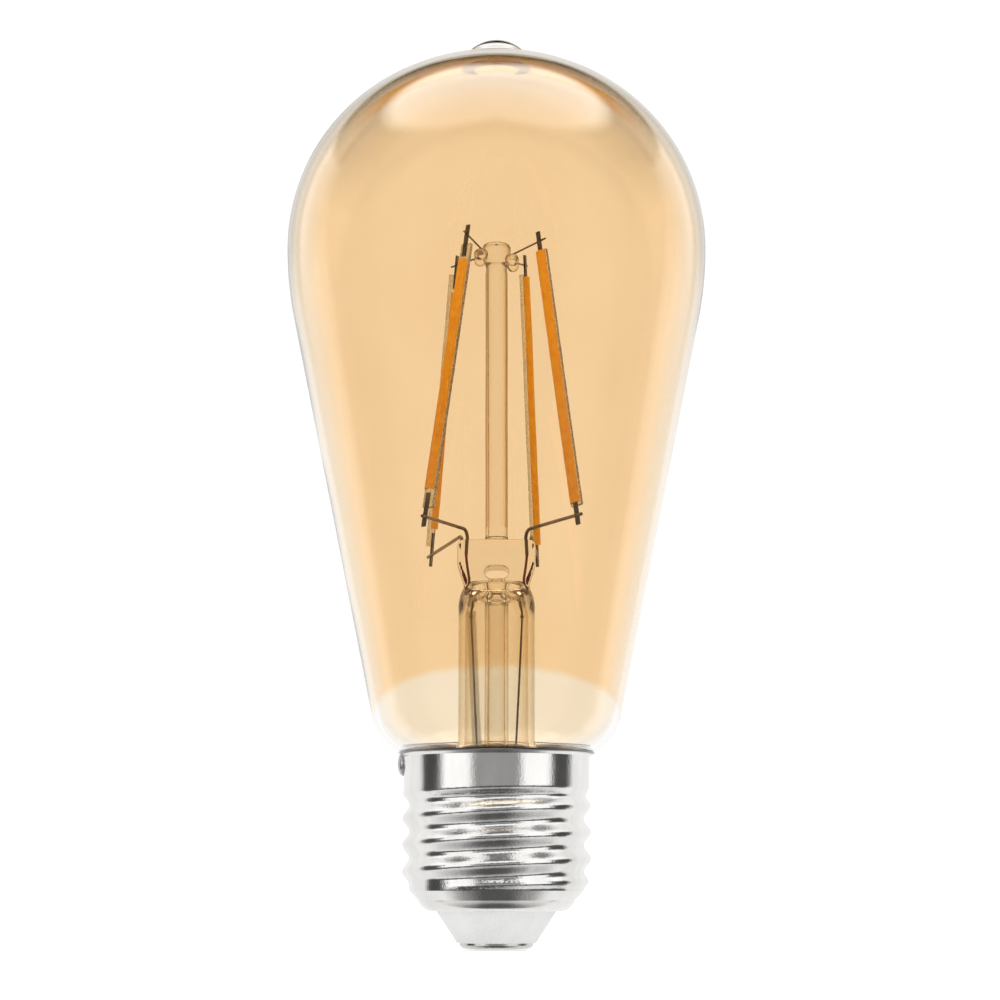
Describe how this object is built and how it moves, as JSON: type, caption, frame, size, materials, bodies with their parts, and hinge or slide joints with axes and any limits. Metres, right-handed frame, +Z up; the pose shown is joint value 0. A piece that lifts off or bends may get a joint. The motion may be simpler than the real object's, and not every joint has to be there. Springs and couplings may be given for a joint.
{
  "type": "light bulb",
  "caption": "Teardrop amber glass lamp with upright LED filaments on a glass stem, closed by a screw cap.",
  "frame": {"origin": "middle of the contact disc's lower face, on the lamp's axis", "axes": "+Z up along the lamp's axis from the cap to the crown; -Y is the side with the front filaments; the side solder is at -X"},
  "size_m": [0.0599, 0.0598, 0.13],
  "materials": {
    "amber_glass": "clear glass with a thin amber coat, glossy",
    "black_package": "black epoxy package",
    "board": "white solder mask over glass-fibre board",
    "capacitor_can": "shrink sleeve over an aluminium can",
    "cement": "dry cap cement",
    "chip": "small dark chips in a row",
    "choke_core": "ferrite core with enamelled winding",
    "clear_glass": "clear fire-polished glass",
    "contact_metal": "bright nickel-plated disc, worn on its land",
    "insulator": "pale heat-resistant moulding, satin",
    "nickel_shell": "bright nickel-plated sheet, lightly brushed along the axis",
    "nickel_wire": "drawn nickel wire, slightly oxidised",
    "phosphor": "orange phosphor silicone, fine grain",
    "radio_shield": "tinned shield can",
    "red_seal_wire": "copper-clad seal wire seen through glass",
    "resistor_body": "lacquered resistor body",
    "sleeve_film": "thin insulating film",
    "solder": "dull tin solder with a wrinkled skin",
    "strip": "clear ceramic strip, sawn edges",
    "tab_metal": "stamped tab, dark plating",
    "tan_sleeve": "pale woven glass sleeve"
  },
  "bodies": {
    "root": {"anchor_wire_back_left": "nickel_wire", "anchor_wire_back_right": "nickel_wire", "anchor_wire_front_left": "nickel_wire", "anchor_wire_front_right": "nickel_wire", "board_sleeve": "sleeve_film", "bridge_rectifier": "black_package", "cap_cement": "cement", "cap_insulator": "insulator", "cap_shell": "nickel_shell", "centre_contact": "contact_metal", "choke": "choke_core", "contact_wire": "nickel_wire", "driver_board": "board", "driver_chip": "black_package", "exhaust_tube": "clear_glass", "filament_chips_back_left": "chip", "filament_chips_back_right": "chip", "filament_chips_front_left": "chip", "filament_chips_front_right": "chip", "filament_coat_back_left": "phosphor", "filament_coat_back_right": "phosphor", "filament_coat_front_left": "phosphor", "filament_coat_front_right": "phosphor", "filament_strip_back_left": "strip", "filament_strip_back_right": "strip", "filament_strip_front_left": "strip", "filament_strip_front_right": "strip", "filament_tab_bottom_back_left": "tab_metal", "filament_tab_bottom_back_right": "tab_metal", "filament_tab_bottom_front_left": "tab_metal", "filament_tab_bottom_front_right": "tab_metal", "filament_tab_top_back_left": "tab_metal", "filament_tab_top_back_right": "tab_metal", "filament_tab_top_front_left": "tab_metal", "filament_tab_top_front_right": "tab_metal", "fusible_resistor": "resistor_body", "glass_bulb": "amber_glass", "lead_sleeve": "tan_sleeve", "lead_wire_left": "nickel_wire", "lead_wire_right": "nickel_wire", "radio_module": "radio_shield", "rod_bead_back_left": "clear_glass", "rod_bead_back_right": "clear_glass", "rod_bead_front_left": "clear_glass", "rod_bead_front_right": "clear_glass", "rod_button": "clear_glass", "seal_wires_left": "red_seal_wire", "seal_wires_right": "red_seal_wire", "shell_wire": "nickel_wire", "side_solder": "solder", "smoothing_capacitor": "capacitor_can", "stem_flare": "clear_glass", "support_arm_back_left": "nickel_wire", "support_arm_back_right": "nickel_wire", "support_arm_front_left": "nickel_wire", "support_arm_front_right": "nickel_wire", "support_rod": "clear_glass"}
  },
  "joints": []
}
